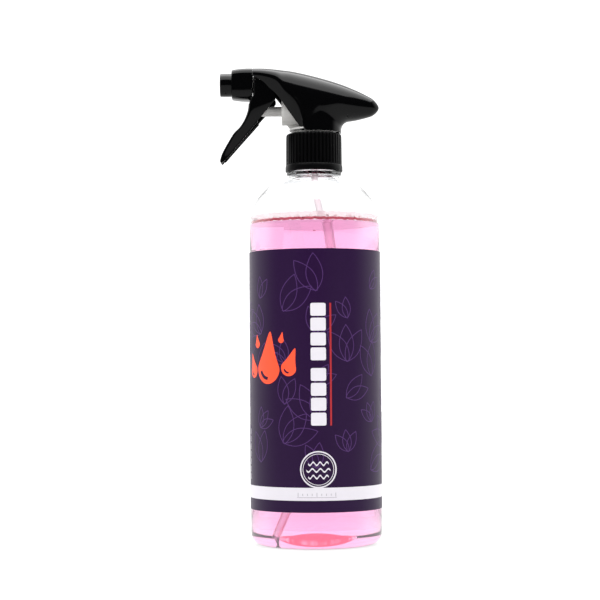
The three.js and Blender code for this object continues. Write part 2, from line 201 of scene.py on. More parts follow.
def smooth_line(points, steps):
    """A Catmull-Rom curve through (x, z) points, with that many steps in each stretch."""
    ends = [points[0], *points, points[-1]]
    line = []
    for p0, p1, p2, p3 in zip(ends, ends[1:], ends[2:], ends[3:]):
        for i in range(steps):
            t = i / steps
            line.append(tuple(
                0.5 * (2 * b + (c - a) * t + (2 * a - 5 * b + 4 * c - d) * t * t
                       + (3 * b - a - 3 * c + d) * t ** 3)
                for a, b, c, d in zip(p0, p1, p2, p3)
            ))
    return [*line, tuple(points[-1])]


def wire(bm, points, close=False):
    """Vertices joined by edges, from 3D points."""
    verts = [bm.verts.new(p) for p in points]
    pairs = list(zip(verts, verts[1:]))
    if close:
        pairs.append((verts[-1], verts[0]))
    return verts, [bm.edges.new(pair) for pair in pairs]


def turn_profile(bm, profile, centre, axis, steps=128):
    """A full turn of an (r, h) profile about an axis through centre. Off-axis ends stay open."""
    axis = Vector(axis)
    side = Vector((0, 0, 1)) if abs(axis.x) > 0.5 else Vector((1, 0, 0))
    points = [Vector(centre) + side * r + axis * h for r, h in profile]
    verts, edges = wire(bm, points, close=profile[0][0] > 0 and profile[-1][0] > 0)
    bmesh.ops.spin(
        bm, geom=[*verts, *edges], cent=centre, axis=axis, angle=math.tau, steps=steps,
        use_merge=True,
    )
    bmesh.ops.remove_doubles(bm, verts=bm.verts, dist=1e-6)


def finish_mesh(bm, name, material, sharp=32):
    """Face the mesh outwards, shade it smooth with sharp edges kept, and make it an object."""
    bmesh.ops.recalc_face_normals(bm, faces=bm.faces)
    limit = math.radians(sharp)
    for face in bm.faces:
        face.smooth = True
    for edge in bm.edges:
        edge.smooth = len(edge.link_faces) != 2 or edge.calc_face_angle() < limit
    mesh = bpy.data.meshes.new(name)
    bm.to_mesh(mesh)
    bm.free()
    return new_object(name, mesh, material)


def shaped_grid(across, along, place):
    """A grid whose points are put where place(u, v) says, u and v running from 0 to 1."""
    bm = bmesh.new()
    bmesh.ops.create_grid(bm, x_segments=across, y_segments=along, size=0.5)
    for vert in bm.verts:
        vert.co = place(vert.co.x + 0.5, vert.co.y + 0.5)
    bmesh.ops.remove_doubles(bm, verts=bm.verts, dist=2e-6)
    return bm


def shoulder(inset):
    """The shoulder's curve from the straight wall to the neck, moved in by the wall."""
    return smooth_line([
        (BODY_R - inset, 178 * MM), (36.4 * MM - inset, 185 * MM),
        (33.4 * MM - inset, 193.8 * MM - inset / 2), (28.4 * MM - inset, 200.4 * MM - inset),
        (21.5 * MM - inset, 206.4 * MM - inset), (15.2 * MM, 208.9 * MM - inset),
    ], 8)


def base_dome(height, out, steps=14):
    return [(out * i / steps, height * (1 - (i / steps) ** 2)) for i in range(steps + 1)]


OUTER_WALL = [
    *base_dome(PUSH_UP, FOOT_IN),
    *arc(FOOT_OUT, HEEL, HEEL, -90, 0, 12),
    (BODY_R, LABEL_BOTTOM - 0.8 * MM), (PANEL_R, LABEL_BOTTOM - 0.4 * MM),
    (PANEL_R, LABEL_TOP + 0.4 * MM), (BODY_R, LABEL_TOP + 0.8 * MM),
    *shoulder(0),
    *arc(15.0 * MM, 209.8 * MM, 0.7 * MM, -60, 90, 6),
    (13.6 * MM, 210.8 * MM), (12.9 * MM, 211.4 * MM), (NECK_R, 212.4 * MM), (NECK_R, RIM),
]
INNER_WALL = [
    *base_dome(INNER_PUSH_UP, INNER_FOOT_IN)[:-1],
    *arc(FOOT_OUT - 0.4 * MM, HEEL + 1.0 * MM, HEEL - 0.3 * MM, -90, 0, 12),
    *shoulder(WALL)[:-1],
    (14.2 * MM, 208.2 * MM), (12 * MM, 208.9 * MM), (NECK_BORE, 210.4 * MM), (NECK_BORE, RIM),
]


def clear_plastic(name):
    """PET that is clear, with the faint waves that blowing leaves in it."""
    made, shader = base_material(
        name, (0.985, 0.992, 1.0), 0.015, Transmission_Weight=1.0, IOR=1.5,
    )
    nodes, links = made.node_tree.nodes, made.node_tree.links
    where = nodes.new("ShaderNodeTexCoord")
    stretch = nodes.new("ShaderNodeMapping")
    stretch.inputs["Scale"].default_value = (60, 60, 14)
    waves = nodes.new("ShaderNodeTexNoise")
    waves.inputs["Scale"].default_value = 1.0
    waves.inputs["Detail"].default_value = 1.5
    bump = nodes.new("ShaderNodeBump")
    bump.inputs["Strength"].default_value = 0.04
    bump.inputs["Distance"].default_value = 0.0004
    links.new(where.outputs["Object"], stretch.inputs["Vector"])
    links.new(stretch.outputs[0], waves.inputs["Vector"])
    links.new(waves.outputs["Fac"], bump.inputs["Height"])
    links.new(bump.outputs[0], shader.inputs["Normal"])
    return made


bm = bmesh.new()
turn_profile(
    bm, [*OUTER_WALL, *reversed(INNER_WALL)], (AXIS, 0, 0), (0, 0, 1), BOTTLE_SIDES,
)
verts, edges = wire(
    bm, [(AXIS + NECK_R + out * MM, 0, THREAD_START + up * MM) for out, up in THREAD_RIDGE],
    close=True,
)
end_face = bmesh.ops.contextual_create(bm, geom=edges)["faces"]
bmesh.ops.spin(
    bm, geom=[*verts, *edges, *end_face], cent=(AXIS, 0, 0), axis=(0, 0, 1),
    dvec=(0, 0, THREAD_TURNS * THREAD_PITCH / THREAD_STEPS),
    angle=THREAD_TURNS * math.tau, steps=THREAD_STEPS,
)
bottle = finish_mesh(bm, "clear_bottle", clear_plastic("clear_pet"))
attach(bottle, "bottle")
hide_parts("bottle")


# The middle of the push-up isn't stretched in blowing, so it stays thick, hazy and rough inside.
# A thin disc on it carries painted light: its deep pink middle, fading to pale, and its glow
# stand in for the bright pink light seen through the base and the liquid.
GLOW_DISC_OUT = 25.5 * MM
GLOW_DISC_LIFT = 0.1 * MM
GLOW_DISC_THICK = 0.4 * MM
CORE_R, CORE_EDGE = 17.2 * MM, 20.6 * MM  # where the deep colour starts and stops to fade
BLOTCH = 6 * MM  # how far the blotches move that edge
BASE_PAINTED_GLOW = 0.85
# Painted light: the disc's colour and glow stand in for pink light seen through the base
base_glow_paint, shader = base_material("painted_base_glow", (1, 0.3, 0.4), 0.7)
nodes, links = base_glow_paint.node_tree.nodes, base_glow_paint.node_tree.links
where = nodes.new("ShaderNodeTexCoord")
centred = nodes.new("ShaderNodeMapping")
centred.inputs["Location"].default_value = (-AXIS, 0, 0)
centred.inputs["Scale"].default_value = (1, 1, 0)
radius = nodes.new("ShaderNodeVectorMath")
radius.operation = "LENGTH"
blotches = nodes.new("ShaderNodeTexNoise")
blotches.inputs["Scale"].default_value = 260
blotches.inputs["Detail"].default_value = 3
uneven_radius = nodes.new("ShaderNodeMath")
uneven_radius.operation = "MULTIPLY_ADD"
uneven_radius.inputs[1].default_value = BLOTCH
fade = nodes.new("ShaderNodeMapRange")
fade.interpolation_type = "SMOOTHSTEP"
fade.inputs["From Min"].default_value = CORE_R
fade.inputs["From Max"].default_value = CORE_EDGE
tint = nodes.new("ShaderNodeMix")
tint.data_type = "RGBA"
tint.inputs["A"].default_value = (1, 0.14, 0.26, 1)
tint.inputs["B"].default_value = (0.98, 0.76, 0.91, 1)
links.new(where.outputs["Object"], centred.inputs["Vector"])
links.new(where.outputs["Object"], blotches.inputs["Vector"])
links.new(centred.outputs[0], radius.inputs[0])
links.new(blotches.outputs["Fac"], uneven_radius.inputs[0])
links.new(radius.outputs["Value"], uneven_radius.inputs[2])
links.new(uneven_radius.outputs[0], fade.inputs["Value"])
links.new(fade.outputs[0], tint.inputs["Factor"])
links.new(tint.outputs["Result"], shader.inputs["Base Color"])
links.new(tint.outputs["Result"], shader.inputs["Emission Color"])
# Painted glow: this emission stands in for light coming up through the base
shader.inputs["Emission Strength"].default_value = BASE_PAINTED_GLOW
skin = [(r, z + GLOW_DISC_LIFT) for r, z in base_dome(INNER_PUSH_UP, INNER_FOOT_IN, 28) if r < GLOW_DISC_OUT]
bm = bmesh.new()
turn_profile(
    bm, [*skin, *((r, z + GLOW_DISC_THICK) for r, z in reversed(skin))], (AXIS, 0, 0), (0, 0, 1), 96,
)
painted_base_glow = finish_mesh(bm, "painted_base_glow", base_glow_paint, 60)
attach(painted_base_glow, "bottle")


# ---------------------------------------------------------------------------------------------
# The liquid: a clear, dyed lubricant that fills the bottle to just above the label. It wets the
# wall, and shaking has left a veil of foam and small bubbles at its surface. A red band on the wall
# by the surface is a painted reflection, in place of the line of light the meniscus shows.
LEVEL_DROP = 4.1 * MM  # below the top of the frame's solid
LIQUID_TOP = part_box("clay_lubricant")[1].z - LEVEL_DROP
WET = 0.12 * MM  # how far the liquid reaches into the wall, so that no gap shows

pink, shader = base_material("pink_liquid", (1, 1, 1), 0.0, Transmission_Weight=1.0, IOR=1.333)
absorb = pink.node_tree.nodes.new("ShaderNodeVolumeAbsorption")
absorb.inputs["Color"].default_value = (0.985, 0.05, 0.60, 1)
absorb.inputs["Density"].default_value = 12.5
pink.node_tree.links.new(
    absorb.outputs[0], pink.node_tree.nodes["Material Output"].inputs["Volume"],
)

wet_wall = [(r + WET, z - (WET if z < 2 * HEEL else 0)) for r, z in INNER_WALL if z < LIQUID_TOP]
wet_wall[0] = (0, wet_wall[0][1])
surface_r = wet_wall[-1][0]
bm = bmesh.new()
turn_profile(
    bm, [*wet_wall, (surface_r, LIQUID_TOP), (0, LIQUID_TOP)],
    (AXIS, 0, 0), (0, 0, 1), BOTTLE_SIDES,
)
liquid = finish_mesh(bm, "liquid", pink, 60)
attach(liquid, "bottle")
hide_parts("clay_lubricant")


BAND_IN = 0.55 * MM  # from the liquid's edge to the middle of a band


def uneven(made, shader, scale, height):
    """Fine unevenness in a material's surface."""
    nodes, links = made.node_tree.nodes, made.node_tree.links
    where = nodes.new("ShaderNodeTexCoord")
    noise = nodes.new("ShaderNodeTexNoise")
    noise.inputs["Scale"].default_value = scale
    bump = nodes.new("ShaderNodeBump")
    bump.inputs["Distance"].default_value = height
    links.new(where.outputs["Object"], noise.inputs["Vector"])
    links.new(noise.outputs["Fac"], bump.inputs["Height"])
    links.new(bump.outputs[0], shader.inputs["Normal"])


def ripple(angle):
    waves = ((0.22, 47, 0), (0.16, 83, 1), (0.12, 19, 0))
    return sum(high * math.sin(count * angle + shift) for high, count, shift in waves)


def ring_band(name, material, low, high, thick, sway):
    """A thin wavy band on the wall over the surface, its section a flat loop in v."""
    def place(u, v):
        angle, section = math.tau * u, math.tau * v
        r = surface_r - BAND_IN + thick / 2 * math.cos(section)
        z = LIQUID_TOP + (low + high) / 2 + (high - low) / 2 * math.sin(section)
        return Vector((AXIS + r * math.cos(angle), r * math.sin(angle), z + sway * ripple(angle)))

    band = finish_mesh(shaped_grid(360, 8, place), name, material, 90)
    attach(band, "bottle")


# Painted reflection: this red band stands in for the line of light the meniscus shows
painted_meniscus_skin, shader = base_material(
    "painted_meniscus_line", (0.95, 0.2, 0.28), 0.4, Transmission_Weight=0.5, IOR=1.06,
)
uneven(painted_meniscus_skin, shader, 900, 0.0004)
ring_band("painted_meniscus_line", painted_meniscus_skin, 0.15 * MM, 1.6 * MM, 0.45 * MM, 0.5 * MM)
foam_skin, shader = base_material(
    "foam_skin", (1, 0.85, 0.87), 0.5, Transmission_Weight=0.9, IOR=1.03,
)
uneven(foam_skin, shader, 700, 0.0006)
ring_band("foam_veil", foam_skin, 1.6 * MM, 4.6 * MM, 0.3 * MM, 0.8 * MM)

froth_skin, shader = base_material(
    "froth_skin", (1, 0.84, 0.87), 0.3, Transmission_Weight=0.9, IOR=1.04,
)
uneven(froth_skin, shader, 1500, 0.0002)
BUBBLES = 300
bm = bmesh.new()
for i in range(BUBBLES):  # the sines scatter the bubbles, alike on each run
    angle = math.tau * (i / BUBBLES) + 0.3 * math.sin(i * 12.9898)
    across = abs(math.sin(i * 78.233))
    size = (0.26 + 0.4 * abs(math.sin(i * 3.7 + 1)) ** 3) * MM
    out = surface_r - 0.9 * MM - size - 1.0 * MM * across ** 2
    up = LIQUID_TOP + (0.9 + size / MM + 1.0 * math.sin(i * 5.1)) * MM
    place = Matrix.Translation((AXIS + out * math.cos(angle), out * math.sin(angle), up))
    bmesh.ops.create_uvsphere(bm, u_segments=8, v_segments=5, radius=size, matrix=place)
froth = finish_mesh(bm, "froth", froth_skin, 90)
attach(froth, "bottle")


# ---------------------------------------------------------------------------------------------
# The label: a satin printed film wrapped right round the bottle, with its glued overlap at the
# back. Its ink is laid on as thin raised shapes, bent round the film. The design is a plain one:
# leaf outlines, drops, bars where wording would be, and a ring of waves over a white band.
FILM_R = 37.2 * MM
FILM_IN = 37.05 * MM
BACK_OUT, BACK_IN = 37.0 * MM, 36.9 * MM
BACK_SHORT = 0.1 * MM  # how far the white back stops short of the film's edges
BACK_PAINTED_GLOW = 0.55
INK_LIFT = 0.02 * MM
INK_THICK = 0.03 * MM
OVERPRINT = 0.03 * MM  # lift of ink that lies over other ink
CUT_EVERY = 2.0 * MM


def printed(name, colour, roughness, specks=0.0):
    """Ink or film with a satin coat, slightly uneven in colour and gloss."""
    made, shader = base_material(
        name, colour, roughness, Coat_Weight=0.04, Coat_Roughness=0.25, Specular_IOR_Level=0.15,
    )
    nodes, links = made.node_tree.nodes, made.node_tree.links
    where = nodes.new("ShaderNodeTexCoord")
    cloud = nodes.new("ShaderNodeTexNoise")
    cloud.inputs["Scale"].default_value = 900
    cloud.inputs["Detail"].default_value = 3
    vary = nodes.new("ShaderNodeMapRange")
    vary.inputs["To Min"].default_value = roughness - 0.06
    vary.inputs["To Max"].default_value = roughness + 0.08
    bump = nodes.new("ShaderNodeBump")
    bump.inputs["Strength"].default_value = 0.12
    bump.inputs["Distance"].default_value = 0.00003
    links.new(where.outputs["Object"], cloud.inputs["Vector"])
    links.new(cloud.outputs["Fac"], vary.inputs["Value"])
    links.new(vary.outputs[0], shader.inputs["Roughness"])
    links.new(cloud.outputs["Fac"], bump.inputs["Height"])
    links.new(bump.outputs[0], shader.inputs["Normal"])
    if specks:
        tint = nodes.new("ShaderNodeMix")
        tint.data_type = "RGBA"
        tint.inputs["A"].default_value = (*colour, 1)
        tint.inputs["B"].default_value = (*(c * (1 + specks) for c in colour), 1)
        links.new(cloud.outputs["Fac"], tint.inputs["Factor"])
        links.new(tint.outputs["Result"], shader.inputs["Base Color"])
    return made


film_ink = printed("film_purple", (0.013, 0.0022, 0.025), 0.38, 0.35)
white_ink = printed("ink_white", (0.66, 0.635, 0.68), 0.4, 0.04)
lilac_ink = printed("ink_lilac", (0.060, 0.024, 0.105), 0.4, 0.2)
orange_ink = printed("ink_orange", (0.90, 0.085, 0.035), 0.38, 0.12)
red_ink = printed("ink_red", (0.36, 0.022, 0.028), 0.4, 0.1)
grey_ink = printed("ink_grey", (0.33, 0.31, 0.35), 0.45, 0.05)

bm = bmesh.new()
turn_profile(bm, [
    (FILM_IN, LABEL_BOTTOM), (FILM_R, LABEL_BOTTOM), (FILM_R, LABEL_TOP), (FILM_IN, LABEL_TOP),
], (AXIS, 0, 0), (0, 0, 1), 180)
film = finish_mesh(bm, "label_film", film_ink)
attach(film, "bottle")
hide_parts("label")

# The film's white back, with a painted glow that stands in for the light that comes through the
# film
back_white = printed("film_back_white", (0.8, 0.78, 0.8), 0.5, 0.05)
shader = back_white.node_tree.nodes["Principled BSDF"]
shader.inputs["Emission Color"].default_value = (1, 0.86, 0.92, 1)
# Painted light: the back's emission stands in for light coming through the film
shader.inputs["Emission Strength"].default_value = BACK_PAINTED_GLOW
bm = bmesh.new()
back_low, back_high = LABEL_BOTTOM + BACK_SHORT, LABEL_TOP - BACK_SHORT
turn_profile(bm, [
    (BACK_IN, back_low), (BACK_OUT, back_low), (BACK_OUT, back_high), (BACK_IN, back_high),
], (AXIS, 0, 0), (0, 0, 1), BOTTLE_SIDES)
film_back = finish_mesh(bm, "film_back", back_white)
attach(film_back, "bottle")


def flat_shape(bm, points, keep=None):
    """A flat face from (across, up) points. With keep, only its outline, that wide, is left."""
    verts, edges = wire(bm, [(x, 0, z) for x, z in points], close=True)
    face = bmesh.ops.contextual_create(bm, geom=edges)["faces"]
    if keep:
        bmesh.ops.inset_individual(bm, faces=face, thickness=keep, use_even_offset=True)
        bmesh.ops.delete(bm, geom=face, context="FACES_ONLY")


def lay_on_label(bm, name, ink, lift=0.0):
    """Give the flat design the ink's thickness, cut it upright, and bend it round the film."""
    raised = bmesh.ops.extrude_face_region(bm, geom=bm.faces[:])["geom"]
    for vert in (g for g in raised if isinstance(g, bmesh.types.BMVert)):
        vert.co.y = -INK_THICK
    low = min(v.co.x for v in bm.verts)
    high = max(v.co.x for v in bm.verts)
    for k in range(math.ceil(low / CUT_EVERY), math.floor(high / CUT_EVERY) + 1):
        bmesh.ops.bisect_plane(
            bm, geom=[*bm.verts, *bm.edges, *bm.faces], dist=1e-7,
            plane_co=(k * CUT_EVERY, 0, 0), plane_no=(1, 0, 0),
        )
    bmesh.ops.triangulate(bm, faces=[f for f in bm.faces if len(f.verts) > 4])
    for vert in bm.verts:
        angle = vert.co.x / FILM_R
        r = FILM_R + INK_LIFT + lift - vert.co.y
        vert.co = (AXIS + r * math.sin(angle), -r * math.cos(angle), vert.co.z)
    piece = finish_mesh(bm, name, ink, 40)
    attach(piece, "bottle")
    return piece


def bar(across, up, wide, high, corner=0.0):
    """A rectangle's outline about its middle, with round corners if asked."""
    x, z = wide / 2 - corner, high / 2 - corner
    if not corner:
        return [(across + sx * x, up + sz * z) for sx, sz in ((-1, -1), (1, -1), (1, 1), (-1, 1))]
    return [
        point
        for sx, sz, first in ((1, 1, 0), (-1, 1, 90), (-1, -1, 180), (1, -1, 270))
        for point in arc(across + sx * x, up + sz * z, corner, first, first + 90, 3)
    ]


def round_shape(across, up, radius, steps=40):
    return [(across + x, up + z) for x, z in arc(0, 0, radius, 0, 360 - 360 / steps, steps - 1)]


def leaf(across, up, long, wide, lean):
    """A pointed leaf: two bows that meet at a tip and a foot, leaning by that many degrees."""
    half = [(wide / 2 * math.sin(math.pi * t) ** 0.8 * (1.12 - 0.3 * t), long * (t - 0.5))
            for t in (i / 12 for i in range(13))]
    ring = [*half, *((-x, z) for x, z in reversed(half[1:-1]))]
    c, s = math.cos(math.radians(lean)), math.sin(math.radians(lean))
    return [(across + x * c - z * s, up + x * s + z * c) for x, z in ring]


BAND_LOW = 27.1 * MM
BAND_HIGH = 34.2 * MM
half_round = math.pi * FILM_R
bm = bmesh.new()
flat_shape(bm, bar(0, (BAND_LOW + BAND_HIGH) / 2, 2 * half_round, BAND_HIGH - BAND_LOW))
lay_on_label(bm, "label_band", white_ink)

# Leaf outlines over the whole film, in a loose repeat that never crosses the band
LEAF_LINE = 0.42 * MM
LEAF_COLUMNS, LEAF_ROWS = 13, 5
LEAF_MARGIN = 9 * MM
LEAF_BOTTOM, LEAF_TOP = 50 * MM, 152 * MM
ROW_STEP = 24 * MM
ROW_SHIFT = 11 * MM  # of every other column
SPREAD = 34  # degrees between the leaves of a sprig
LEAF_SHAPE = 0.46  # width against length
bm = bmesh.new()
for column in range(LEAF_COLUMNS):
    for row in range(LEAF_ROWS):
        n = column * LEAF_ROWS + row
        across = (half_round - LEAF_MARGIN) * (2 * column / (LEAF_COLUMNS - 1) - 1)
        up = LEAF_BOTTOM + ROW_STEP * row + (ROW_SHIFT if column % 2 else 0)
        up += 3 * MM * math.sin(n * 2.3)
        if up > LEAF_TOP:
            continue
        lean = 40 * math.sin(n * 1.7)
        long = (17 + 5 * math.sin(n * 4.1)) * MM
        for turn in (-SPREAD, 0, SPREAD)[: 2 + n % 2]:
            c, s = math.cos(math.radians(lean + turn)), math.sin(math.radians(lean + turn))
            flat_shape(bm, leaf(across - s * long * 0.42, up + c * long * 0.42 - 4 * MM,
                                long, LEAF_SHAPE * long, lean + turn), LEAF_LINE)
lay_on_label(bm, "label_leaves", lilac_ink)

# Bars where the product's wording would be, and the rule beside them
TEXT_LEFT, TEXT_RIGHT = -2.9 * MM, 5.5 * MM
TEXT_LOW, TEXT_HIGH = 68 * MM, 135 * MM
BARS = 4  # in each of two groups
BAR_GAP = 1.1 * MM
BAR_CORNER = 0.9 * MM
GROUP_GAP = 4.2 * MM
RULE_X = 8.1 * MM
RULE_WIDE = 1.0 * MM
bm = bmesh.new()
tall = (TEXT_HIGH - TEXT_LOW - GROUP_GAP - 2 * (BARS - 1) * BAR_GAP) / (2 * BARS)
for i in range(2 * BARS):
    up = TEXT_LOW + i * (tall + BAR_GAP) + (GROUP_GAP - BAR_GAP if i >= BARS else 0) + tall / 2
    flat_shape(bm, bar((TEXT_LEFT + TEXT_RIGHT) / 2, up, TEXT_RIGHT - TEXT_LEFT, tall, BAR_CORNER))
lay_on_label(bm, "label_bars", white_ink, OVERPRINT)

bm = bmesh.new()
flat_shape(bm, bar(RULE_X, (TEXT_LOW + TEXT_HIGH) / 2, RULE_WIDE, TEXT_HIGH - TEXT_LOW))
lay_on_label(bm, "label_rule", red_ink, OVERPRINT)

# The drops: a large orange one and four small ones round it, the larger with a dark crescent
DROP_X = math.radians(-46) * FILM_R
DROP_Z = 104 * MM


def drop(across, up, radius, tall, lean):
    """A round drop drawn out to a point, leaning by that many degrees."""
    ring = []
    for a in (math.tau * i / 48 for i in range(48)):
        upward = max(0.0, math.cos(a))
        ring.append((
            radius * math.sin(a) * (1 - 0.55 * upward ** 1.5),
            radius * math.cos(a) + (tall - 2 * radius) * upward ** 3,
        ))
    c, s = math.cos(math.radians(lean)), math.sin(math.radians(lean))
    return [(across + x * c - z * s, up + x * s + z * c) for x, z in ring]


bm = bmesh.new()
for across, up, radius, tall, lean in (
    (0.2, -4.6, 8.6, 29, -6), (-13.6, -5.6, 4.2, 14, 16), (14.4, -4.4, 4.6, 16, -20),
    (-9.0, 9.0, 2.3, 7.5, 8), (9.8, 11.0, 1.8, 6.2, -12),
):
    flat_shape(bm, drop(DROP_X + across * MM, DROP_Z + up * MM, radius * MM, tall * MM, lean))
lay_on_label(bm, "label_drop", orange_ink, OVERPRINT)
bm = bmesh.new()
for across, up, radius in ((0.2, -4.6, 6.4), (-13.6, -5.6, 2.8), (14.4, -4.4, 3.1)):
    x, z, r = DROP_X + across * MM, DROP_Z + up * MM, radius * MM
    inside = arc(x + 0.1 * r, z + 0.13 * r, 0.87 * r, 200, 268, 14)
    flat_shape(bm, [*arc(x, z, r, 196, 268, 14), *reversed(inside)])
lay_on_label(bm, "label_drop_shine", film_ink, 0.07 * MM)

# The ring over the band, with three waves in it
RING_X = 0.9 * MM
RING_Z = 44.1 * MM
RING_R, RING_LINE = 10.1 * MM, 0.75 * MM
INNER_RING_R, INNER_RING_LINE = 8.6 * MM, 0.3 * MM
WAVE_HIGH = 0.9 * MM
WAVE_STEP = 3.6 * MM
bm = bmesh.new()
flat_shape(bm, round_shape(RING_X, RING_Z, RING_R, 64), RING_LINE)
flat_shape(bm, round_shape(RING_X, RING_Z, INNER_RING_R, 64), INNER_RING_LINE)
for i, half in enumerate((5.6, 6.6, 5.6)):
    middle = RING_Z + WAVE_STEP * (1 - i)
    top = [(RING_X + half * MM * t, middle + WAVE_HIGH * math.sin(3 * math.pi * t))
           for t in (k / 16 - 1 for k in range(33))]
    flat_shape(bm, [*top, *((x, z - WAVE_HIGH) for x, z in reversed(top))])
lay_on_label(bm, "label_ring", white_ink, OVERPRINT)

# Thin grey ticks on the band, the small print at the side and the lines of the back panel
TICK_STEP = 2.6 * MM
TICK_WIDE = 0.3 * MM
TICK_Z = 30.4 * MM
TICK_SHORT, TICK_LONG = 1.2 * MM, 2.2 * MM
TICK_LINE_Z = 28.9 * MM
bm = bmesh.new()
for k in range(-4, 5):
    flat_shape(bm, bar(TICK_STEP * k, TICK_Z, TICK_WIDE, TICK_SHORT if k % 4 else TICK_LONG))
flat_shape(bm, bar(0, TICK_LINE_Z, 22 * MM, 0.22 * MM))
lay_on_label(bm, "label_band_marks", grey_ink, OVERPRINT)

SIDE_PRINT_X = -50.5 * MM
SIDE_PRINT_WIDE, SIDE_PRINT_TALL = 0.7 * MM, 3.2 * MM
PANEL_IN = 26 * MM  # from the film's overlap to the middle of a column of lines
PANEL_TOP = 148 * MM
LINE_LONG, LINE_STEP, LINE_HIGH = 38 * MM, 5.6 * MM, 0.9 * MM
LINES = 17
bm = bmesh.new()
for k in range(7):
    flat_shape(bm, bar(SIDE_PRINT_X, (39 + 4.2 * k) * MM, SIDE_PRINT_WIDE, SIDE_PRINT_TALL))
for line in range(LINES):
    short = 0.62 if line % 5 == 4 else 1.0 - 0.06 * abs(math.sin(line * 2.1))
    wide = LINE_LONG * short
    for side in (-1, 1):
        middle = side * (half_round - PANEL_IN) - (LINE_LONG - wide) / 2
        flat_shape(bm, bar(middle, PANEL_TOP - LINE_STEP * line, wide, LINE_HIGH))
lay_on_label(bm, "label_small_print", white_ink, OVERPRINT)


# ---------------------------------------------------------------------------------------------
# The closure: an injection-moulded screw cap in satin black, with forty-five ribs to grip and a
# plain band at the bottom of the skirt. It turns freely on the pump's neck.
closure_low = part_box("closure")[0]
RIBS = 45
RIB_SIDES = 8
RIB_DEPTH = 0.75


def satin_plastic(name, colour, roughness, grain, strength=0.25):
    """Moulded plastic: a fine spark-eroded grain and a little unevenness in its gloss."""
    made, shader = base_material(name, colour, roughness, Specular_IOR_Level=0.15)
    nodes, links = made.node_tree.nodes, made.node_tree.links
    where = nodes.new("ShaderNodeTexCoord")
    fine = nodes.new("ShaderNodeTexNoise")
    fine.inputs["Scale"].default_value = grain
    fine.inputs["Detail"].default_value = 4
    broad = nodes.new("ShaderNodeTexNoise")
    broad.inputs["Scale"].default_value = grain / 30
    vary = nodes.new("ShaderNodeMapRange")
    vary.inputs["To Min"].default_value = roughness * 0.8
    vary.inputs["To Max"].default_value = roughness * 1.25
    bump = nodes.new("ShaderNodeBump")
    bump.inputs["Strength"].default_value = strength
    bump.inputs["Distance"].default_value = 0.00002
    links.new(where.outputs["Object"], fine.inputs["Vector"])
    links.new(where.outputs["Object"], broad.inputs["Vector"])
    links.new(broad.outputs["Fac"], vary.inputs["Value"])
    links.new(vary.outputs[0], shader.inputs["Roughness"])
    links.new(fine.outputs["Fac"], bump.inputs["Height"])
    links.new(bump.outputs[0], shader.inputs["Normal"])
    return made


SKIRT = [  # (radius, height above the frame solid's bottom, share of the ribs' depth there)
    (14.35, -0.6, 0), (15.9, -0.6, 0), (16.25, -0.3, 0), (16.3, 0.3, 0), (16.22, 2.7, 0),
    (16.05, 2.95, 0), (15.95, 3.1, 0.2), (15.95, 3.4, 0.9), (15.93, 4.2, 1), (15.9, 10, 1),
    (15.85, 17, 1), (15.8, 19.6, 1), (15.65, 20.3, 0.8), (15.4, 20.7, 0.5), (15.0, 20.95, 0.2),
    (14.5, 21.08, 0), (13.6, 21.1, 0), (10.1, 21.1, 0), (10.1, 19.3, 0), (14.35, 19.3, 0),
]


def skirt_point(u, v):
    r, h, ribbed = SKIRT[round(v * (len(SKIRT) - 1))]
    groove = max(0.0, math.cos(math.tau * (u * RIBS % 1))) ** 1.5
    r -= RIB_DEPTH * ribbed * groove
    angle = math.tau * u
    return Vector((
        AXIS + r * MM * math.cos(angle), r * MM * math.sin(angle), closure_low.z + h * MM,
    ))


closure_black = satin_plastic("closure_black", (0.001, 0.001, 0.0012), 0.36, 4000)
closure_black.node_tree.nodes["Principled BSDF"].inputs["Specular IOR Level"].default_value = 0.08
bm = shaped_grid(RIBS * RIB_SIDES, len(SKIRT) - 1, skirt_point)
bmesh.ops.bridge_loops(bm, edges=[e for e in bm.edges if e.is_boundary])
closure = finish_mesh(bm, "screw_closure", closure_black, 38)
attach(closure, "closure")
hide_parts("closure")


# ---------------------------------------------------------------------------------------------
# The pump: its body, rod and flange in natural, slightly milky plastic. Their frame solids are
# merged, their corners broken and their round faces smoothed.
natural = satin_plastic("natural_plastic", (0.52, 0.515, 0.50), 0.34, 2500, 0.15)
shader = natural.node_tree.nodes["Principled BSDF"]
shader.inputs["Subsurface Weight"].default_value = 0.35
shader.inputs["Subsurface Radius"].default_value = (0.004, 0.004, 0.004)
shader.inputs["Subsurface Scale"].default_value = 1.0


def round_edges(piece, width, sharp=35):
    """Break a piece's sharp corners with a narrow rounding."""
    soften = piece.modifiers.new("corners", "BEVEL")
    soften.width = width * MM
    soften.segments = 2
    soften.limit_method = "ANGLE"
    soften.angle_limit = math.radians(sharp)
    soften.harden_normals = False


def refined(node, name, material, slot, corner=0.25, sharp=35):
    """A copy of a frame solid with its triangles merged and its sharp corners broken."""
    bm = bmesh.new()
    bm.from_mesh(frame["nodes"][node].data)
    bmesh.ops.remove_doubles(bm, verts=bm.verts, dist=2e-6)
    bmesh.ops.dissolve_limit(bm, angle_limit=math.radians(1), verts=bm.verts, edges=bm.edges)
    piece = finish_mesh(bm, name, material, sharp)
    if corner:
        round_edges(piece, corner, sharp)
    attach(piece, frame["nodes"][node]["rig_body"])
    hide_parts(node)
    return piece


refined("pump_body", "pump_housing", natural, "natural_plastic", 0.2)
refined("piston", "piston_rod", natural, "natural_plastic", 0.2)


# ---------------------------------------------------------------------------------------------
# The dip tube: natural plastic tube, bowed in the bottle and ending low in the heel.
TUBE_R = 2.0 * MM
TUBE_WALL = 0.6 * MM
tube_route = [
    (0, 0, 229.2), (0, 0, 218), (1, 1.5, 200), (5.8, 7, 178), (9.5, 10, 152), (10.5, 8, 115),
    (6, 0, 75), (-6, -10, 36), (-20.3, -15, 5.2),
]
tube_plastic, shader = base_material(
    "tube_plastic", (1.0, 0.93, 0.95), 0.35, Transmission_Weight=0.97, IOR=1.22,
)
uneven(tube_plastic, shader, 400, 0.0002)


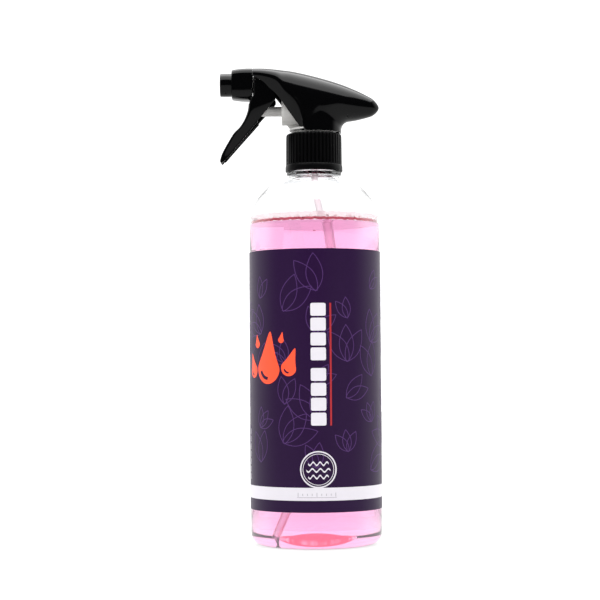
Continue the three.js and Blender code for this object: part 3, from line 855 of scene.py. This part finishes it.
def rod_along(route, radius):
    """A mesh of a round rod along a route of points."""
    path = bpy.data.curves.new("route", "CURVE")
    path.dimensions = "3D"
    path.bevel_depth = radius
    path.bevel_resolution = 5
    line = path.splines.new("POLY")
    line.points.add(len(route) - 1)
    for point, place in zip(line.points, route):
        point.co = (*place, 1)
    guide = bpy.data.objects.new("route", path)
    shape = bpy.data.meshes.new_from_object(guide)
    bpy.data.objects.remove(guide)
    return shape


bm = bmesh.new()
bm.from_mesh(rod_along(
    smooth_line([(AXIS + x * MM, y * MM, z * MM) for x, y, z in tube_route], 10), TUBE_R,
))
bmesh.ops.remove_doubles(bm, verts=bm.verts, dist=1e-6)
tube = finish_mesh(bm, "dip_tube_wall", tube_plastic, 60)
wall = tube.modifiers.new("wall", "SOLIDIFY")
wall.thickness = TUBE_WALL
wall.offset = -1
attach(tube, "head")
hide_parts("dip_tube")


# ---------------------------------------------------------------------------------------------
# The shroud: a gloss black shell, a teardrop from above and from the side, that clips over the
# pump. It is open in front and below, and its front edge is cut back in a bevelled sweep.
shroud_low, shroud_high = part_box("shroud")
SHELL = 1.2 * MM
SEAM_X = shroud_low.x - AXIS
TAIL_X = shroud_high.x - AXIS

gloss_black = satin_plastic("gloss_black", (0.001, 0.001, 0.0012), 0.1, 1500, 0.06)


def along_line(points):
    """A smooth reading of height, or width, against x, from (x, value) points in millimetres."""
    fine = smooth_line([(x * MM, value * MM) for x, value in points], 12)

    def read(x):
        for (x0, a), (x1, b) in zip(fine, fine[1:]):
            if x <= x1:
                return a + (b - a) * max(0.0, x - x0) / max(1e-9, x1 - x0)
        return fine[-1][1]

    return read


roof_height = along_line([
    (-34.55, 270.35), (-28, 270.35), (-22, 269.9), (-13.5, 269), (-7, 267.7), (-2, 266.5),
    (4, 264.9), (10.4, 263), (17.1, 260.7), (22.7, 258.4), (27.3, 256.3), (31.3, 254.2),
    (34.4, 252.5), (37.3, 250.8),
])
under_height = along_line([
    (-34.55, 240), (-10, 239.5), (4, 239.4), (15.9, 239.5), (22.7, 240.2), (27.5, 241.2),
    (32, 242.4), (37.3, 244.2),
])
plan_width = along_line([
    (-34.55, 10.9), (-28, 12.0), (-20, 13.0), (-8, 14.2), (2, 14.3), (10, 13.3), (18, 11.2),
    (26, 8.3), (32, 5.9), (37.3, 3.8),
])
side_height = along_line([
    (-34.55, 261), (-20, 257.5), (-8, 253.5), (4, 251), (16, 249.6), (28, 248.2), (37.3, 247.6),
])
edge_height = along_line([
    (-34.55, 264.7), (-31.7, 263.6), (-26, 258.9), (-20.4, 253.6), (-13.7, 243.9), (-7.6, 235.3),
    (-5.8, 233.5), (16, 233.5),
])
bevel_height = along_line([
    (-34.55, 265.4), (-28, 264.3), (-21.1, 261.8), (-16.6, 256.2), (-9.8, 249.6), (-6.8, 241),
    (-5.3, 235.5), (-4.6, 233.6), (16, 233.5),
])
NECK_FLANK, NECK_BACK, NECK_TURN = 13.6 * MM, 15.8 * MM, 3.0 * MM
FILLET = 4.4 * MM
TAIL_START = 32.6 * MM
BEVEL_IN = 2.4 * MM
UNDER_SHARE = 0.72  # of the rows below the side, for the underside; the rest go down the neck
FRONT_STATIONS = 64
TAIL_STATIONS = 44
UPPER, LOWER, BEVEL = 22, 18, 5  # points from the ridge to the side, to the bevel, to the edge


def ease(x, start, stop):
    t = min(1.0, max(0.0, (x - start) / (stop - start)))
    return t * t * (3 - 2 * t)


def shroud_station(u):
    """The distance along the shroud: closer and closer towards the neck's back and the tail."""
    share = u * (FRONT_STATIONS + TAIL_STATIONS)
    if share <= FRONT_STATIONS:
        return SEAM_X + (NECK_BACK - SEAM_X) * math.sin(math.pi / 2 * share / FRONT_STATIONS) ** 0.9
    t = (share - FRONT_STATIONS) / TAIL_STATIONS
    return NECK_BACK + 0.05 * MM + (TAIL_X - NECK_BACK - 0.05 * MM) * math.sin(math.pi / 2 * t)


def neck_flank(x):
    """Half the neck's width at x: straight cheeks, rounded at the back."""
    back = max(0.0, (x - NECK_TURN) / (NECK_BACK - NECK_TURN))
    return NECK_FLANK * math.sqrt(max(0.0, 1 - back ** 2))


def side_wall(t, wide, middle, foot, chamfer):
    """The wall in front: straight down from the side to the bevelled edge."""
    control = (
        (wide, middle), (wide, middle - 0.55 * (middle - chamfer)),
        (foot, chamfer + 0.42 * (middle - chamfer)), (foot, chamfer),
    )
    share = ((1 - t) ** 3, 3 * t * (1 - t) ** 2, 3 * t * t * (1 - t), t ** 3)
    return [sum(k * point[i] for k, point in zip(share, control)) for i in (0, 1)]


def under_body(t, x, wide, middle, under):
    """The rounded underside, which flows through a fillet into the neck and down to its rim."""
    flank = min(neck_flank(x), wide - 0.4 * MM)
    reach = min(1.0, t / UNDER_SHARE)
    y = flank + (wide - flank) * math.cos(math.pi / 2 * reach) ** 1.2
    z = middle - (middle - under) * math.sqrt(max(0.0, 1 - (y / wide) ** 2))
    across = y / NECK_FLANK
    back = max(0.0, x - NECK_TURN) / (NECK_BACK - NECK_TURN)
    off = max(0.0, math.hypot(across, back) - 1) * NECK_FLANK
    if off < FILLET:
        z -= FILLET - math.sqrt(FILLET ** 2 - (FILLET - off) ** 2)
    if t > UNDER_SHARE and flank > 0:
        z += (neck_rim - z) * (t - UNDER_SHARE) / (1 - UNDER_SHARE)
    return y, z


neck_rim = edge_height(0)


def shroud_point(u, v):
    x = shroud_station(u)
    rows = UPPER + LOWER + BEVEL
    hand = -1 if v < 0.5 else 1
    row = abs(v - 0.5) * 2 * rows
    round_tail = math.sqrt(max(0.0, 1 - max(0.0, (x - TAIL_START) / (TAIL_X - TAIL_START)) ** 2))
    low = edge_height(x)
    chamfer = max(low, bevel_height(x))
    middle = max(side_height(x), chamfer + 0.5 * MM)
    top = middle + (roof_height(x) - middle) * round_tail
    under = middle + (under_height(x) - middle) * round_tail
    wide = max(1e-6, plan_width(x) * round_tail)
    if row <= UPPER:
        a = math.pi / 2 * row / UPPER
        full = 0.86 + 0.14 * min(1.0, max(0.0, (x - SEAM_X) / (24 * MM)))
        y = wide * math.sin(a) ** full
        z = middle + (top - middle) * math.cos(a) ** full
        return Vector((AXIS + x, hand * y, z))
    t = min(1.0, (row - UPPER) / LOWER)
    open_front = min(1.0, max(0.0, (-4.5 * MM - x) / (14 * MM)))
    foot = NECK_FLANK + (wide - NECK_FLANK) * open_front
    blended = ease(x, -4 * MM, 4 * MM)
    before = side_wall(t, wide, middle, foot, chamfer)
    behind = under_body(t, x, wide, middle, under)
    y, z = (a + (b - a) * blended for a, b in zip(before, behind))
    beyond = max(0.0, row - UPPER - LOWER) / BEVEL
    y -= BEVEL_IN * min(1.0, (chamfer - low) / (3 * MM)) * beyond
    z += (low - chamfer) * beyond * (x <= 0)
    return Vector((AXIS + x, hand * y, z))


bm = shaped_grid(FRONT_STATIONS + TAIL_STATIONS, 2 * (UPPER + LOWER + BEVEL), shroud_point)
shroud = finish_mesh(bm, "shroud_shell", gloss_black, 24)
wall = shroud.modifiers.new("wall", "SOLIDIFY")
wall.thickness = SHELL
wall.offset = -1
round_edges(shroud, 0.22)
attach(shroud, "head")
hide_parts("shroud")


# ---------------------------------------------------------------------------------------------
# The trigger: a gloss black channel with a curved finger face, open at the back, whose cheeks
# rise under the shroud to its hinge pin. A thin lip stiffens the back edge of each cheek.
trigger_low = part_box("trigger")[0]
TRIGGER_HALF = 10.0 * MM
TIP_HALF = 4.8 * MM
RIM_LEFT = 1.6 * MM  # what is left of the web beside its open top
CHEEK = 1.3 * MM
FRONT_ROUND = 2.6 * MM
front_line = smooth_line([(x * MM, z * MM) for x, z in (
    (-52.9, 216.4), (-53.4, 217.7), (-52.3, 221.4), (-50.3, 225.2), (-47.9, 229.2), (-45.4, 233.0),
    (-42.6, 235.7), (-40.6, 238.3), (-38.8, 241.6), (-37.4, 245.6), (-36.9, 249.2),
)], 5)
front_line += [
    (x * MM, z * MM) for x, z in ((-36.2, 251.6), (-34.6, 253.6), (-34.5, 258), (-34.4, 262.6))
]
back_line = [(-52.2, 216.0), (-21.4, 251.6), (-22.4, 256.6), (-25.2, 262.6)]
WEB_TOP = 249.0 * MM


def back_point(share):
    """A point on the back edge, whose long straight goes with the first part of the front."""
    knots = (0.0, 0.86, 0.93, 1.0)
    for (k0, a), (k1, b) in zip(zip(knots, back_line), zip(knots[1:], back_line[1:])):
        if share <= k1:
            t = (share - k0) / (k1 - k0)
            return ((a[0] + (b[0] - a[0]) * t) * MM, (a[1] + (b[1] - a[1]) * t) * MM)
    return (back_line[-1][0] * MM, back_line[-1][1] * MM)


CHEEK_ROWS, CORNER_ROWS, WEB_ROWS = 8, 6, 8


def trigger_point(u, v):
    at = u * (len(front_line) - 1)
    front = front_line[round(at)]
    back = back_point(u)
    rows = CHEEK_ROWS + CORNER_ROWS + WEB_ROWS
    hand = -1 if v < 0.5 else 1
    row = rows - abs(v - 0.5) * 2 * rows  # 0 at the back edge, rising to the middle of the web
    span = Vector((back[0] - front[0], 0, back[1] - front[1]))
    reach = span.length
    corner = min(FRONT_ROUND, reach * 0.45)
    if row <= CHEEK_ROWS:
        t = row / CHEEK_ROWS
        y, off = TRIGGER_HALF, reach + (corner - reach) * t
    elif row <= CHEEK_ROWS + CORNER_ROWS:
        a = math.pi / 2 * (row - CHEEK_ROWS) / CORNER_ROWS
        y = TRIGGER_HALF - corner * (1 - math.cos(a))
        off = corner * (1 - math.sin(a))
    else:
        t = (row - CHEEK_ROWS - CORNER_ROWS) / WEB_ROWS
        y = (TRIGGER_HALF - corner) * (1 - t)
        off = -0.4 * MM * math.sin(math.pi / 2 * t) * min(1.0, reach / (9 * MM))
    way = span.normalized()
    tip = TIP_HALF / TRIGGER_HALF
    taper = tip + (1 - tip) * ease(front[1], trigger_low.z, WEB_TOP)
    return Vector((AXIS + front[0] + way.x * off, hand * y * taper, front[1] + way.z * off))


bm = shaped_grid(len(front_line) - 1, 2 * (CHEEK_ROWS + CORNER_ROWS + WEB_ROWS), trigger_point)
middles = [(face, face.calc_center_median()) for face in bm.faces]
open_top = [
    face for face, middle in middles
    if middle.z > WEB_TOP and abs(middle.y) < TRIGGER_HALF - RIM_LEFT
]
bmesh.ops.delete(bm, geom=open_top, context="FACES")
trigger = finish_mesh(bm, "trigger_lever", gloss_black, 40)
wall = trigger.modifiers.new("wall", "SOLIDIFY")
wall.thickness = CHEEK
wall.offset = -1
round_edges(trigger, 0.3)
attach(trigger, "trigger")
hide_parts("trigger")

# The lip along each cheek's back edge, and the rounded pusher and its brace between the cheeks
LIP_R = 0.35 * MM
LIP_START, LIP_STOP = 2, 32  # steps of the front line
bm = bmesh.new()
for side in (-1, 1):
    stand_off = Vector((0.1 * MM, side * 0.05 * MM, 0))
    route = [
        trigger_point(step / (len(front_line) - 1), (side + 1) / 2) + stand_off
        for step in range(LIP_START, LIP_STOP)
    ]
    bm.from_mesh(rod_along(route, LIP_R))
bmesh.ops.remove_doubles(bm, verts=bm.verts, dist=1e-6)
bmesh.ops.holes_fill(bm, edges=[e for e in bm.edges if e.is_boundary])
lips = finish_mesh(bm, "trigger_lips", gloss_black, 50)
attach(lips, "trigger")

ROD_Z = sum(corner.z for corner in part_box("piston")) / 2
PUSHER_X = -30.6 * MM
PUSHER_R = 3 * MM
PUSHER_HALF = TRIGGER_HALF - CHEEK - 0.4 * MM
BRACE_FRONT, BRACE_BACK = -36.4 * MM, PUSHER_X - 1.9 * MM
BRACE_TALL = 5.2 * MM
BRACE_HALF = 0.8 * MM
nose = arc(PUSHER_X - PUSHER_R, ROD_Z, PUSHER_R, -75, 75, 12)
brace = bar((BRACE_FRONT + BRACE_BACK) / 2, ROD_Z, BRACE_BACK - BRACE_FRONT, BRACE_TALL)
bm = bmesh.new()
for outline, half in ((nose, PUSHER_HALF), (brace, BRACE_HALF)):
    verts, edges = wire(bm, [(AXIS + x, -half, z) for x, z in outline], close=True)
    face = bmesh.ops.contextual_create(bm, geom=edges)["faces"]
    grown = bmesh.ops.extrude_face_region(bm, geom=face, use_keep_orig=True)["geom"]
    for vert in (g for g in grown if isinstance(g, bmesh.types.BMVert)):
        vert.co.y = half
pusher = finish_mesh(bm, "trigger_pusher", gloss_black, 40)
round_edges(pusher, 0.15)
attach(pusher, "trigger")


# ---------------------------------------------------------------------------------------------
# The nozzle cap: gloss black, a rounded square that grips between the fingers, stepping down to
# a round front with the spray orifice sunk in it.
JET_Z = sum(corner.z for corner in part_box("nozzle_cap")) / 2
NOZZLE_SIDES = 96
NOZZLE_RINGS = [  # (x from the axis, half size, squareness: 2 is round), from back to front
    (-35.15, 6.4, 2), (-34.8, 8.4, 3.4), (-34.72, 8.9, 3.6), (-34.85, 9.12, 3.6), (-38, 9.15, 3.6),
    (-41, 9.0, 3.7), (-44, 8.65, 3.8), (-45.7, 8.4, 3.8), (-46.4, 8.15, 3.7), (-46.65, 7.8, 3.2),
    (-46.7, 7.2, 2.3), (-46.8, 6.75, 2), (-47.1, 6.62, 2), (-50, 6.6, 2), (-52.8, 6.55, 2),
    (-53.2, 6.4, 2), (-53.3, 6.1, 2), (-53.3, 4.7, 2), (-53.1, 4.4, 2), (-51.6, 3.1, 2),
    (-50.8, 2.2, 2), (-50.8, 0.65, 2), (-47.2, 0.65, 2), (-47.2, 6.4, 2),
]


def nozzle_point(u, v):
    x, half, power = NOZZLE_RINGS[round(v * (len(NOZZLE_RINGS) - 1))]
    a = math.tau * u
    c, s = math.cos(a), math.sin(a)
    r = half * MM / (abs(c) ** power + abs(s) ** power) ** (1 / power)
    return Vector((AXIS + x * MM, r * c, JET_Z + r * s))


bm = shaped_grid(NOZZLE_SIDES, len(NOZZLE_RINGS) - 1, nozzle_point)
bmesh.ops.bridge_loops(bm, edges=[e for e in bm.edges if e.is_boundary])
nozzle = finish_mesh(bm, "nozzle_shell", gloss_black, 28)
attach(nozzle, "nozzle")
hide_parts("nozzle_cap")


# ---------------------------------------------------------------------------------------------
# The pieces inside: gasket, tube retainer, valve balls, plug, seals, spring and spinner. They
# keep their frame solids, smoothed, in their own finishes.
foam = satin_plastic("seal_foam", (0.86, 0.85, 0.82), 0.75, 1800, 0.5)
rubber = satin_plastic("seal_rubber", (0.60, 0.58, 0.54), 0.55, 2200, 0.3)
bright_steel = satin_plastic("bright_steel", (0.66, 0.67, 0.68), 0.22, 3000, 0.1)
bright_steel.node_tree.nodes["Principled BSDF"].inputs["Metallic"].default_value = 1.0

for node, material, slot in (
    ("neck_gasket", foam, "seal_foam"), ("tube_retainer", natural, "natural_plastic"),
    ("inlet_ball", bright_steel, "steel"), ("outlet_ball", bright_steel, "steel"),
    ("channel_plug", natural, "natural_plastic"), ("piston_seal", rubber, "seal_rubber"),
    ("back_seal", rubber, "seal_rubber"), ("return_spring", bright_steel, "steel"),
    ("nozzle_seal", rubber, "seal_rubber"), ("spinner", natural, "natural_plastic"),
):
    inner = refined(node, node + "_piece", material, slot, 0.0, 50)
    if node == "return_spring":
        low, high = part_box(node)
        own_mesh(inner)
